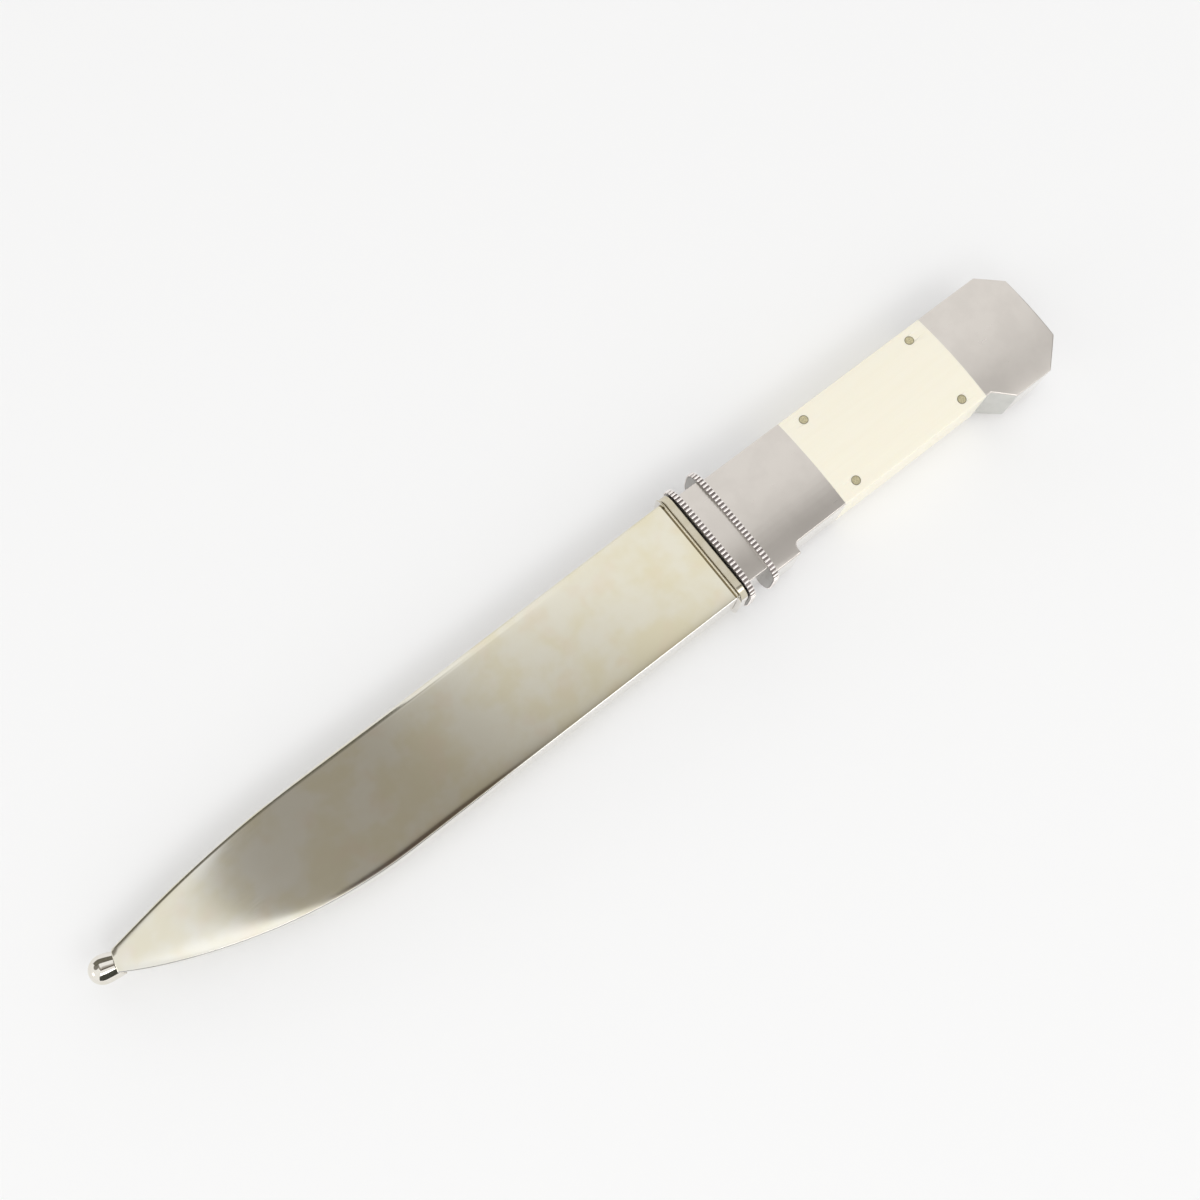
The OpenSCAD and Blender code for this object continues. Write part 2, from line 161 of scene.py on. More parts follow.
@dataclass(frozen=True)
class MetalFinish:
    """A bare metal with soft clouds of tarnish and fine lines left by polishing along the knife, and where given a
    darker band of painted shade across a span along x.
    """

    name: str
    colour: str
    stain: str
    roughness: float
    cloud_mm: float = 14.0
    stain_share: float = 0.5
    roughness_swing: float = 0.05
    line_mm: float = 0.12
    line_length_mm: float = 9.0
    line_depth_mm: float = 0.0012
    wave_mm: float = 0.0
    wave_depth_mm: float = 0.0
    warm_tint: str = ""
    warm_share: float = 0.3
    yellowing: str = ""
    yellowing_x: tuple[float, float] = (-190.0, -60.0)
    # A darker colour mixed in over a span along x: painted shade of a crevice, such as the bead's foot
    painted_shade: str = ""
    painted_shade_x: tuple[float, float] = (-42.85, -42.7)
    cloud_edges: tuple[float, float] = (0.4, 0.66)
    warm_edges: tuple[float, float] = (0.52, 0.7)
    warm_fineness: float = 1.6
    warm_offset: tuple[float, float, float] = (311.0, 97.0, 41.0)

    def build(self) -> Material:
        """Builds the material.

        Returns:
            The new material.
        """
        material, tree, shader, place = start_material(self.name)
        cloud = add_node(tree, NOISE, {"Vector": place, "Scale": 1 / self.cloud_mm, "Detail": 3.0, "Roughness": 0.55})
        low, high = self.cloud_edges
        share = add_node(tree, RANGE, {"Value": cloud.outputs[0], "From Min": low, "From Max": high,
                                       "To Max": self.stain_share}, interpolation_type="SMOOTHSTEP")
        colour = add_node(tree, MIX, {0: share.outputs[0], 6: linear(self.colour), 7: linear(self.stain)},
                          data_type="RGBA").outputs[2]
        if self.warm_tint:
            moved = add_node(tree, VECTOR, (place, self.warm_offset), operation="ADD").outputs[0]
            tint = add_node(tree, NOISE, {"Vector": moved, "Scale": self.warm_fineness / self.cloud_mm,
                                          "Detail": 2.0})
            low, high = self.warm_edges
            where = add_node(tree, RANGE, {"Value": tint.outputs[0], "From Min": low, "From Max": high,
                                           "To Max": self.warm_share}, interpolation_type="SMOOTHSTEP")
            colour = add_node(tree, MIX, {0: where.outputs[0], 6: colour, 7: linear(self.warm_tint)},
                              data_type="RGBA").outputs[2]
        # The first tone multiplies a tint over one span along x; the second mixes in a darker colour over another,
        # painted shade of a crevice
        for tone, (begin, end), blend in ((self.yellowing, self.yellowing_x, "MULTIPLY"),
                                          (self.painted_shade, self.painted_shade_x, "MIX")):
            if tone:
                along = add_node(tree, "ShaderNodeSeparateXYZ", (place,)).outputs["X"]
                where = add_node(tree, RANGE, {"Value": along, "From Min": begin, "From Max": end}).outputs[0]
                colour = add_node(tree, MIX, {0: where, 6: colour, 7: linear(tone)}, data_type="RGBA",
                                  blend_type=blend).outputs[2]
        across = 1 / self.line_mm
        stretched = add_node(tree, VECTOR, (place, (1 / self.line_length_mm, across, across)),
                             operation="MULTIPLY").outputs[0]
        lines = add_node(tree, NOISE, {"Vector": stretched, "Scale": 1.0, "Detail": 2.0}).outputs[0]
        rough = add_node(tree, RANGE, {"Value": lines, "To Min": self.roughness - self.roughness_swing,
                                       "To Max": self.roughness + self.roughness_swing}).outputs[0]
        bump = add_node(tree, BUMP, {"Height": lines, "Strength": 1.0, "Distance": self.line_depth_mm * MM})
        if self.wave_mm:
            waves = add_node(tree, NOISE, {"Vector": place, "Scale": 1 / self.wave_mm, "Detail": 1.0}).outputs[0]
            bump = add_node(tree, BUMP, {"Height": waves, "Strength": 1.0, "Distance": self.wave_depth_mm * MM,
                                         "Normal": bump.outputs[0]})
        fill(tree, shader, {"Base Color": colour, "Roughness": rough, "Normal": bump.outputs[0], "Metallic": 1.0})
        return material


@dataclass(frozen=True)
class ScaleFinish:
    """Cast resin in ivory colour, sanded and waxed: faint grain along the grip, soft depth and a low gloss."""

    name: str = "cast_ivory_resin"
    colour: str = "#FAF4E2"
    grain: str = "#F4ECD4"
    roughness: float = 0.36
    grain_mm: float = 1.4
    grain_length_mm: float = 26.0
    grain_edges: tuple[float, float] = (0.45, 0.8)
    grain_share: float = 0.25
    grain_depth_mm: float = 0.0005
    glow_share: float = 0.12
    glow_reach: tuple[float, float, float] = (1.0, 0.8, 0.5)
    glow_mm: float = 0.8

    def build(self) -> Material:
        """Builds the material.

        Returns:
            The new material.
        """
        material, tree, shader, place = start_material(self.name)
        across = 1 / self.grain_mm
        stretched = add_node(tree, VECTOR, (place, (1 / self.grain_length_mm, across, across)),
                             operation="MULTIPLY").outputs[0]
        grain = add_node(tree, NOISE, {"Vector": stretched, "Scale": 1.0, "Detail": 4.0, "Roughness": 0.6}).outputs[0]
        low, high = self.grain_edges
        share = add_node(tree, RANGE, {"Value": grain, "From Min": low, "From Max": high,
                                       "To Max": self.grain_share}).outputs[0]
        colour = add_node(tree, MIX, {0: share, 6: linear(self.colour), 7: linear(self.grain)}, data_type="RGBA")
        bump = add_node(tree, BUMP, {"Height": grain, "Strength": 0.6, "Distance": self.grain_depth_mm * MM})
        fill(tree, shader, {"Base Color": colour.outputs[2], "Normal": bump.outputs[0], "Roughness": self.roughness,
                            "Subsurface Weight": self.glow_share, "Subsurface Radius": self.glow_reach,
                            "Subsurface Scale": self.glow_mm * MM})
        return material


@dataclass(frozen=True)
class PinFinish:
    """Ground nickel-silver pin heads gone olive-gold, speckled, with grime in the ring round each."""

    centre_x: float
    spread_x: float
    spread_y: float
    radius: float
    name: str = "tarnished_pin"
    colour: str = "#D6CDA8"
    speck: str = "#B9B08F"
    ring: str = "#8E8870"
    speck_mm: float = 0.35
    speck_edges: tuple[float, float] = (0.42, 0.6)
    speck_depth_mm: float = 0.01
    ring_from: float = 0.72
    metallic: float = 0.7
    roughness: float = 0.45

    def build(self) -> Material:
        """Builds the material.

        Returns:
            The new material.
        """
        material, tree, shader, place = start_material(self.name)
        specks = add_node(tree, NOISE, {"Vector": place, "Scale": 1 / self.speck_mm, "Detail": 3.0}).outputs[0]
        low, high = self.speck_edges
        share = add_node(tree, RANGE, {"Value": specks, "From Min": low, "From Max": high}).outputs[0]
        body = add_node(tree, MIX, {0: share, 6: linear(self.colour), 7: linear(self.speck)}, data_type="RGBA")
        centred = add_node(tree, VECTOR, (place, (self.centre_x, 0.0, 0.0)), operation="SUBTRACT").outputs[0]
        folded = add_node(tree, VECTOR, (centred,), operation="ABSOLUTE").outputs[0]
        offset = add_node(tree, VECTOR, (folded, (self.spread_x, self.spread_y, 0.0)), operation="SUBTRACT").outputs[0]
        flat = add_node(tree, VECTOR, (offset, (1.0, 1.0, 0.0)), operation="MULTIPLY").outputs[0]
        reach = add_node(tree, VECTOR, (flat,), operation="LENGTH").outputs["Value"]
        edge = add_node(tree, RANGE, {"Value": reach, "From Min": self.ring_from * self.radius,
                                      "From Max": self.radius}, interpolation_type="SMOOTHSTEP").outputs[0]
        colour = add_node(tree, MIX, {0: edge, 6: body.outputs[2], 7: linear(self.ring)}, data_type="RGBA")
        bump = add_node(tree, BUMP, {"Height": specks, "Strength": 0.7, "Distance": self.speck_depth_mm * MM})
        fill(tree, shader, {"Base Color": colour.outputs[2], "Normal": bump.outputs[0], "Metallic": self.metallic,
                            "Roughness": self.roughness})
        return material


@dataclass(frozen=True)
class WoodFinish:
    """Sawn poplar of the sheath's core: pale brown growth lines every 2 mm and a dry, matt surface."""

    name: str = "sawn_poplar"
    colour: str = "#B58A5A"
    grain: str = "#8C6238"
    grain_mm: float = 2.0
    grain_length_mm: float = 40.0
    grain_depth_mm: float = 0.05
    roughness: float = 0.8

    def build(self) -> Material:
        """Builds the material.

        Returns:
            The new material.
        """
        material, tree, shader, place = start_material(self.name)
        across = 1 / self.grain_mm
        stretched = add_node(tree, VECTOR, (place, (1 / self.grain_length_mm, across, across)),
                             operation="MULTIPLY").outputs[0]
        grain = add_node(tree, NOISE, {"Vector": stretched, "Scale": 1.0, "Detail": 5.0}).outputs[0]
        colour = add_node(tree, MIX, {0: grain, 6: linear(self.colour), 7: linear(self.grain)}, data_type="RGBA")
        bump = add_node(tree, BUMP, {"Height": grain, "Strength": 0.8, "Distance": self.grain_depth_mm * MM})
        fill(tree, shader, {"Base Color": colour.outputs[2], "Normal": bump.outputs[0], "Roughness": self.roughness})
        return material


# Nickel silver, hand-rubbed with fine paper: a grey with a little warmth and a soft, even glow
GRIP_METAL = MetalFinish("rubbed_nickel_silver", "#DDD7D0", "#D4CEC7", 0.28, cloud_mm=9.0,
                         roughness_swing=0.012, line_mm=0.3, line_depth_mm=0.0001)
# The same metal on the milled collars, buffed brighter by handling
COLLAR_METAL = MetalFinish("buffed_nickel_silver", "#F1ECE8", "#E6E0DC", 0.22, cloud_mm=6.0, line_mm=0.2)
# The same metal at the foot of the milling, made darker: painted shade in the grooves between the teeth
GROOVE_SHADE_METAL = MetalFinish("milling_painted_shade", "#8E8684", "#756C6A", 0.45, cloud_mm=3.0, line_mm=0.2)
# The narrow sides of grip and sheath, which hands and cloth have polished to a near mirror; their colour, lighter than
# the faces', is painted light standing in for the bright light that the sides catch
SIDE_LIGHT_METAL = MetalFinish("nickel_sides_painted_light", "#F3F0EC", "#EAE7E2", 0.16, cloud_mm=12.0,
                         roughness_swing=0.012, line_depth_mm=0.0003)
# The collars' flat faces, rougher as the lathe turned them, and darker in colour: painted shade standing in for the
# shaded floor that they mirror
FACE_SHADE_METAL = MetalFinish("collar_face_painted_shade", "#C2C0BD", "#B6B3AF", 0.36, cloud_mm=6.0, line_mm=0.25)
# The hook's flank, filed rather than rubbed, so it stays a neutral grey
FLANK_METAL = MetalFinish("filed_nickel_silver", "#D8D8D4", "#CCCCC8", 0.34, cloud_mm=5.0, line_mm=0.25)
# Nickel-silver sheet, polished and then wiped along its length: warm, glossy, with cloudy tarnish, and a darker band of
# painted shade on the sheet at the bead's foot by the throat
SHEATH_METAL = MetalFinish("polished_nickel_silver_sheet", "#E9E7DE", "#E2DABB", 0.1, cloud_mm=15.0,
                           roughness_swing=0.03, line_length_mm=16.0, line_depth_mm=0.0004, wave_mm=30.0,
                           wave_depth_mm=0.06, warm_tint="#E8DBCC", yellowing="#FFFCF2", painted_shade="#857A5E")
# Throat band and bead: the same sheet, a little darker where it isn't wiped
THROAT_METAL = MetalFinish("throat_nickel_silver", "#D6CFBC", "#C6BDA3", 0.2, cloud_mm=5.0)
# The ball at the tip, turned and mirror-polished
BALL_METAL = MetalFinish("mirror_nickel_silver", "#ECE8E0", "#E2DCCD", 0.07, cloud_mm=4.0, roughness_swing=0.02,
                         line_depth_mm=0.0001)
# Carbon blade steel, ground and then satin-rubbed along its length
BLADE_STEEL = MetalFinish("satin_blade_steel", "#C9CBCC", "#BFC1C2", 0.3, cloud_mm=30.0, stain_share=0.4,
                          line_mm=0.1, line_length_mm=25.0, line_depth_mm=0.002)


def link(name: str, data: bpy.types.ID) -> Piece:
    """Puts a finished mesh, lamp or camera into the scene as an object at the origin.

    Args:
        name: The object's name.
        data: The mesh, in the row frame in metres, or the lamp or camera.

    Returns:
        The new object.
    """
    data.name = name
    piece = bpy.data.objects.new(name, data)
    bpy.context.scene.collection.objects.link(piece)
    return piece


def settle(piece: Piece) -> None:
    """Applies a piece's modifiers, so that its mesh is plain.

    Args:
        piece: The piece.
    """
    mesh = bpy.data.meshes.new_from_object(piece.evaluated_get(bpy.context.evaluated_depsgraph_get()))
    piece.modifiers.clear()
    piece.data = mesh
    mesh.name = piece.name


def smooth(piece: Piece, angle: float = 35.0) -> None:
    """Shades a piece smooth up to an angle in degrees, with its large faces kept flat.

    Args:
        piece: The piece.
        angle: Edges that turn by more than this many degrees stay sharp.
    """
    for polygon in piece.data.polygons:
        polygon.use_smooth = True
    piece.data.set_sharp_from_angle(angle=math.radians(angle))
    weighted = piece.modifiers.new("weighted", "WEIGHTED_NORMAL")
    weighted.keep_sharp = True
    settle(piece)


def keep(name: str, edited: bmesh.types.BMesh, material: Material) -> Piece:
    """Turns an edited mesh into a piece with one finish.

    Args:
        name: The piece's name.
        edited: The mesh, in millimetres of the knife's own frame, which is let go.
        material: The finish.

    Returns:
        The new piece.
    """
    edited.transform(TO_ROW)
    mesh = bpy.data.meshes.new(name)
    edited.to_mesh(mesh)
    edited.free()
    mesh.materials.append(material)
    return link(name, mesh)


def loft(name: str, rings: list[list[Vector]], material: Material) -> Piece:
    """Joins rings of points into one closed piece, with both end rings filled.

    Args:
        name: The piece's name.
        rings: Rings with the same number of points, in millimetres of the knife's own frame.
        material: The finish.

    Returns:
        The new piece.
    """
    edited = bmesh.new()
    made = [[edited.verts.new(point) for point in ring] for ring in rings]
    for one, other in zip(made, made[1:]):
        for i in range(len(one)):
            j = (i + 1) % len(one)
            edited.faces.new((one[i], one[j], other[j], other[i]))
    edited.faces.new(made[0])
    edited.faces.new(made[-1])
    bmesh.ops.recalc_face_normals(edited, faces=edited.faces)
    return keep(name, edited, material)


def start_tree(name: str, sizes: tuple[str, ...]) -> tuple[Tree, bpy.types.Node]:
    """Starts a geometry tree with a path as its input geometry and a named input for each size.

    Args:
        name: The tree's name.
        sizes: The names of the sizes; one that starts with Number is a whole number.

    Returns:
        The tree and its group input.
    """
    tree = bpy.data.node_groups.new(name, "GeometryNodeTree")
    tree.interface.new_socket("Path", in_out="INPUT", socket_type="NodeSocketGeometry")
    for size in sizes:
        kind = "NodeSocketInt" if size.startswith("Number") else "NodeSocketFloat"
        tree.interface.new_socket(size, in_out="INPUT", socket_type=kind)
    tree.interface.new_socket("Geometry", in_out="OUTPUT", socket_type="NodeSocketGeometry")
    return tree, tree.nodes.new("NodeGroupInput")


def end_tree(tree: Tree, made: Socket, material: Material) -> None:
    """Ends a geometry tree in Realize Instances and Set Material.

    Args:
        tree: The geometry tree.
        made: What it has made.
        material: The finish.
    """
    real = add_node(tree, "GeometryNodeRealizeInstances", (made,)).outputs[0]
    dressed = add_node(tree, "GeometryNodeSetMaterial", {"Geometry": real, "Material": material}).outputs[0]
    add_node(tree, "NodeGroupOutput", (dressed,))


def grow(name: str, tree: Tree, path: Mesh, sizes: dict[str, float], place: Matrix) -> Piece:
    """Runs a geometry tree on a path and keeps the result as a plain mesh.

    Args:
        name: The piece's name.
        tree: The geometry tree.
        path: The points or edges that the tree works along, in millimetres.
        sizes: A value for each named size of the tree.
        place: Where the result goes, in millimetres of the knife's own frame.

    Returns:
        The new piece.
    """
    carrier = link(name + "_path", path)
    modifier = carrier.modifiers.new("grow", "NODES")
    modifier.node_group = tree
    for item in tree.interface.items_tree:
        if item.in_out == "INPUT" and item.name in sizes:
            modifier[item.identifier] = sizes[item.name]
    carrier.update_tag()
    mesh = bpy.data.meshes.new_from_object(carrier.evaluated_get(bpy.context.evaluated_depsgraph_get()))
    carrier.modifiers.clear()
    bpy.data.objects.remove(carrier)
    mesh.transform(TO_ROW @ place)
    return link(name, mesh)


def closed_path(points: list[tuple[float, float]]) -> Mesh:
    """Makes a closed loop of edges in the XY plane from its points in millimetres.

    Args:
        points: The loop's corners, in order.

    Returns:
        The loop as a mesh.
    """
    mesh = bpy.data.meshes.new("path")
    count = len(points)
    mesh.from_pydata([(x, y, 0.0) for x, y in points], [(i, (i + 1) % count) for i in range(count)], [])
    return mesh


def finish_sides(piece: Piece, material: Material, facing: Vector | None = None, steepness: float = 0.35,
                 reach: float = 0.93) -> None:
    """Gives the narrow sides of a piece, its upright faces away from front and back, a finish of their own.

    Args:
        piece: The piece.
        material: The finish.
        facing: The direction that a side has to look toward, or None where every side counts.
        steepness: How far a face's normal may lean up or down for it to count as a side.
        reach: How far from the middle a side may lie, as a share of half the piece's height.
    """
    least_turn = 0.1
    heights = [vertex.co.z for vertex in piece.data.vertices]
    middle, half = (max(heights) + min(heights)) / 2, (max(heights) - min(heights)) / 2
    piece.data.materials.append(material)
    for polygon in piece.data.polygons:
        upright = abs(polygon.normal.z) < steepness and abs(polygon.center.z - middle) < reach * half
        if upright and (facing is None or polygon.normal.dot(facing) > least_turn):
            polygon.material_index = len(piece.data.materials) - 1


def put(piece: Piece, body: Body, slot: Slot, *nodes: str) -> None:
    """Makes a piece ride on its body and stand for its CAD nodes, and reports it.

    Args:
        piece: The piece.
        body: The body that it rides on.
        slot: The record's slot meant for it; not used.
        nodes: The CAD nodes that it stands for.
    """
    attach(piece, body.value)
    if nodes:
        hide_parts(*nodes)
    LOG.info("%s: %d faces, on %s", piece.name, len(piece.data.polygons), body.value)


def dress(node: str, material: Material) -> None:
    """Gives a CAD node that stays in view, or inside, its finish.

    Args:
        node: The node's name.
        material: The finish.
    """
    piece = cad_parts[node]
    if not piece.material_slots:
        piece.data.materials.append(material)
    for held in piece.material_slots:
        held.material = material
    LOG.info("%s: kept from the model as %s", node, material.name)


def soften(node: str, name: str, radius: float, seams: tuple[float, ...], material: Material) -> Piece:
    """Copies a CAD node and rounds its outer edges, apart from those at a tight seam.

    Args:
        node: The CAD node.
        name: The new piece's name.
        radius: The rounding in millimetres.
        seams: Places along x, in millimetres, whose edges stay sharp.
        material: The finish.

    Returns:
        The new piece.
    """
    weld, flat, corner, near = 0.001, 0.2, 25.0, 0.01
    edited = bmesh.new()
    edited.from_mesh(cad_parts[node].data)
    edited.transform(TO_ROW.inverted())
    bmesh.ops.remove_doubles(edited, verts=edited.verts, dist=weld)
    bmesh.ops.dissolve_limit(edited, angle_limit=math.radians(flat), verts=edited.verts, edges=edited.edges)
    rounded = []
    for edge in edited.edges:
        if len(edge.link_faces) != 2 or math.degrees(edge.calc_face_angle()) < corner:
            continue
        one, other = (vertex.co for vertex in edge.verts)
        at_seam = any(max(abs(one.x - x), abs(other.x - x)) < near for x in seams)
        if not at_seam and not is_inner(edge, node):
            rounded.append(edge)
    bmesh.ops.bevel(edited, geom=rounded, offset=radius, segments=3, profile=0.5, affect="EDGES")
    piece = keep(name, edited, material)
    smooth(piece)
    return piece


def is_inner(edge: bmesh.types.BMEdge, node: str) -> bool:
    """Says whether an edge belongs to the tang's channel or a pin's hole inside a node.

    Args:
        edge: The edge, in millimetres of the knife's own frame.
        node: The node's name.

    Returns:
        True where it does.
    """
    tang_half, channel_half, pin_y, pin_reach = 8.2, 3.0, 11.8, 1.6
    one, other = (vertex.co for vertex in edge.verts)
    in_channel = max(abs(one.y), abs(other.y)) < tang_half and max(abs(one.z), abs(other.z)) < channel_half
    at_pin = node.startswith("scale") and all(abs(abs(point.y) - pin_y) < pin_reach for point in (one, other))
    return in_channel or at_pin


@dataclass
class Sheath:
    """The sheath's metal body: a seamless-looking shell with rounded edges, round a wooden core.

    The spine edge's rounding narrows from one size to another along round_span, and the strip in which
    the face falls toward its edges widens along ease_span, both given as distances from the mouth.
    """

    mouth_x: float = -39.25
    length: float = 196.4
    width: float = 35.7
    thickness: float = 14.5
    tip_thickness: float = 8.4
    sheet: float = 0.9
    start: float = 1.2
    spine_run: float = 65.4
    spine_radius: float = 360.0
    spine_fall: float = 0.8
    belly_run: float = 80.5
    belly_radius: float = 157.0
    spine_round: float = 2.2
    spine_round_tip: float = 1.2
    round_span: tuple[float, float] = (90.0, 150.0)
    belly_round: float = 0.4
    crown: float = 0.1
    ease_slope: float = 0.119
    ease_reach: float = 1.0
    ease_reach_tip: float = 1.6
    ease_span: tuple[float, float] = (60.0, 95.0)
    least_round: float = 0.3
    end_round: float = 0.35
    end_wall: float = 1.0
    slant_from: float = 160.0
    slant: float = 0.27
    stations: int = 110
    # How far a belly-facing face may lean and still take the lighter side finish: a painted highlight along the belly
    # edge
    belly_highlight_steepness: float = 0.95
    metal: Material = field(default_factory=SHEATH_METAL.build)
    # Lighter finish for the narrow sides: painted light
    sides: Material = field(default_factory=SIDE_LIGHT_METAL.build)
    wood: Material = field(default_factory=lambda: WoodFinish().build())

    def spine_y(self, s: float) -> float:
        """Gives the spine edge's y at a distance from the mouth.

        Args:
            s: The distance from the mouth.

        Returns:
            The edge's y in millimetres.
        """
        edge, straight = self.width / 2, self.length - self.spine_run
        lean = math.atan(self.spine_fall / straight)
        if s <= straight:
            return edge - s * math.tan(lean)
        middle_s = straight - self.spine_radius * math.sin(lean)
        middle_y = edge - self.spine_fall - self.spine_radius * math.cos(lean)
        return middle_y + math.sqrt(self.spine_radius ** 2 - (s - middle_s) ** 2)

    def belly_y(self, s: float) -> float:
        """Gives the belly edge's y at a distance from the mouth."""
        along = max(0.0, s - (self.length - self.belly_run))
        return self.belly_radius - self.width / 2 - math.sqrt(self.belly_radius ** 2 - along ** 2)

    @staticmethod
    def along(s: float, begin: float, end: float) -> float:
        """Gives how far a distance from the mouth lies from one place to another, as a share from 0 to 1."""
        return min(1.0, max(0.0, (s - begin) / (end - begin)))

    def half_z(self, s: float) -> float:
        """Gives half the body's thickness at a distance from the mouth."""
        return (self.thickness + (self.tip_thickness - self.thickness) * s / self.length) / 2

    def section(self, s: float, inset: float = 0.0, push: float = 0.0) -> list[Vector]:
        """Draws the body's outline across the knife.

        Args:
            s: The distance from the mouth.
            inset: How far the outline lies inside the outer face.
            push: How far the ring is moved toward the tip.

        Returns:
            The ring's points, in order round the body.
        """
        top, low, half = self.spine_y(s) - inset, self.belly_y(s) + inset, self.half_z(s) - inset
        spine_round = self.spine_round + (self.spine_round_tip - self.spine_round) * self.along(s, *self.round_span)
        spine_r, belly_r = (max(self.least_round, size - inset) for size in (spine_round, self.belly_round))
        middle, reach = (top + low) / 2, (top - low) / 2
        ease_reach = self.ease_reach + (self.ease_reach_tip - self.ease_reach) * self.along(s, *self.ease_span)
        corner_steps, face_steps = 9, 30
        upper = []
        for centre_y, radius, begin in ((top - spine_r, spine_r, 0.0), (low + belly_r, belly_r, 90.0)):
            arc = []
            for i in range(corner_steps + 1):
                angle = math.radians(begin + 90.0 * i / corner_steps)
                arc.append((centre_y + radius * math.cos(angle), half - radius + radius * math.sin(angle)))
            if upper:
                from_y = upper[-1][0]
                upper.extend((from_y + (arc[0][0] - from_y) * (1 - math.cos(math.pi * i / face_steps)) / 2, half)
                             for i in range(1, face_steps))
            upper.extend(arc)
        shaped = []
        for y, z in upper:
            near = min(top - y, y - low)
            eased = self.ease_slope * ease_reach * math.exp(-near / ease_reach)
            fall = self.crown * ((y - middle) / reach) ** 2 + eased
            shaped.append((y, z * (1 - fall / half)))
        turn = self.slant * max(0.0, (s - self.slant_from) / (self.length - self.slant_from)) ** 2
        return [Vector((self.mouth_x - s - push + turn * (y - middle), y, z))
                for y, z in shaped + [(y, -z) for y, z in reversed(shaped)]]

    def build(self) -> None:
        """Builds the shell round the core and dresses what stays from the model."""
        ends = self.length - self.end_round
        places = [self.start + (ends - self.start) * i / self.stations for i in range(self.stations + 1)]
        outer = [self.section(s) for s in places]
        for degrees in (30, 60, 90):
            angle = math.radians(degrees)
            inset = self.end_round * (1 - math.cos(angle))
            outer.append(self.section(ends, inset, self.end_round * math.sin(angle)))
        inside_end = self.length - self.end_wall
        inner = [self.section(min(s, inside_end), self.sheet) for s in reversed(places) if s < inside_end]
        shell = loft("sheath_shell", inner + outer, self.metal)
        smooth(shell, angle=50.0)
        finish_sides(shell, self.sides)
        # Nearly every belly-facing face, the rounded belly edge too, takes the lighter side finish: a painted highlight
        # along the belly edge
        finish_sides(shell, self.sides, Vector((0, -1, 0)), self.belly_highlight_steepness, reach=1.0)
        put(shell, Body.SHEATH, Slot.SHEATH, "sheath_front", "sheath_back", "sheath_spine", "sheath_belly",
            "sheath_tip")
        for node in ("core_front", "core_back", "core_spine", "core_belly"):
            dress(node, self.wood)


@dataclass
class Throat:
    """The band and the bead round the sheath's mouth, each a rounded strip bent round a corner path."""

    mouth_x: float = -39.25
    width: float = 35.7
    thickness: float = 14.5
    band_length: float = 2.4
    band_wall: float = 1.4
    bead_length: float = 0.42
    bead_wall: float = 1.7
    outer_round: float = 4.2
    groove: float = 0.4
    band_rounding: float = 0.3
    bead_rounding: float = 0.2
    facets: int = 5
    metal: Material = field(default_factory=THROAT_METAL.build)
    # Lighter finish for the narrow sides: painted light
    sides: Material = field(default_factory=SIDE_LIGHT_METAL.build)

    def tree(self) -> Tree:
        """Builds the tree that sweeps a strip with rounded edges along a closed path.

        Returns:
            The geometry tree.
        """
        tree, sizes = start_tree("bent_strip", ("Wall", "Length", "Rounding", "Number of facets"))
        given = sizes.outputs
        strip = add_node(tree, "GeometryNodeCurvePrimitiveQuadrilateral",
                         {"Width": given["Wall"], "Height": given["Length"]}).outputs[0]
        rounded = add_node(tree, "GeometryNodeFilletCurve",
                           {"Curve": strip, "Radius": given["Rounding"], "Count": given["Number of facets"]},
                           mode="POLY").outputs[0]
        path = add_node(tree, "GeometryNodeMeshToCurve", (given["Path"],)).outputs[0]
        upright = add_node(tree, "GeometryNodeSetCurveNormal", {"Curve": path}, mode="Z_UP").outputs[0]
        swept = add_node(tree, "GeometryNodeCurveToMesh", {"Curve": upright, "Profile Curve": rounded}).outputs[0]
        end_tree(tree, swept, self.metal)
        return tree

    def ring_path(self, wall: float) -> Mesh:
        """Draws the middle line of a ring with a given wall, round the body.

        Args:
            wall: The ring's wall.

        Returns:
            The line as a closed loop of edges.
        """
        half_y, half_z = (self.width + wall) / 2, (self.thickness + wall) / 2
        radius = self.outer_round - wall / 2
        points = []
        for quarter, (side_y, side_z) in enumerate(((1, 1), (-1, 1), (-1, -1), (1, -1))):
            for i in range(9):
                angle = math.radians(90 * quarter + 90 * i / 8)
                points.append((side_y * (half_y - radius) + radius * math.cos(angle),
                               side_z * (half_z - radius) + radius * math.sin(angle)))
        return closed_path(points)

    def build(self) -> None:
        """Builds the band and the bead."""
        tree = self.tree()
        for name, node, wall, length, middle, rounding in (
                ("throat_strip", "throat_band", self.band_wall, self.band_length, self.band_length / 2,
                 self.band_rounding),
                ("throat_ridge", "throat_bead", self.bead_wall, self.bead_length,
                 self.band_length + self.groove + self.bead_length / 2, self.bead_rounding)):
            place = Matrix.Translation((self.mouth_x - middle, 0, 0)) @ STAND_UP
            ring = grow(name, tree, self.ring_path(wall),
                        {"Wall": wall, "Length": length, "Rounding": rounding, "Number of facets": self.facets}, place)
            smooth(ring, angle=50.0)
            finish_sides(ring, self.sides)
            put(ring, Body.SHEATH, Slot.SHEATH, node)
        dress("mouth_plate", self.metal)


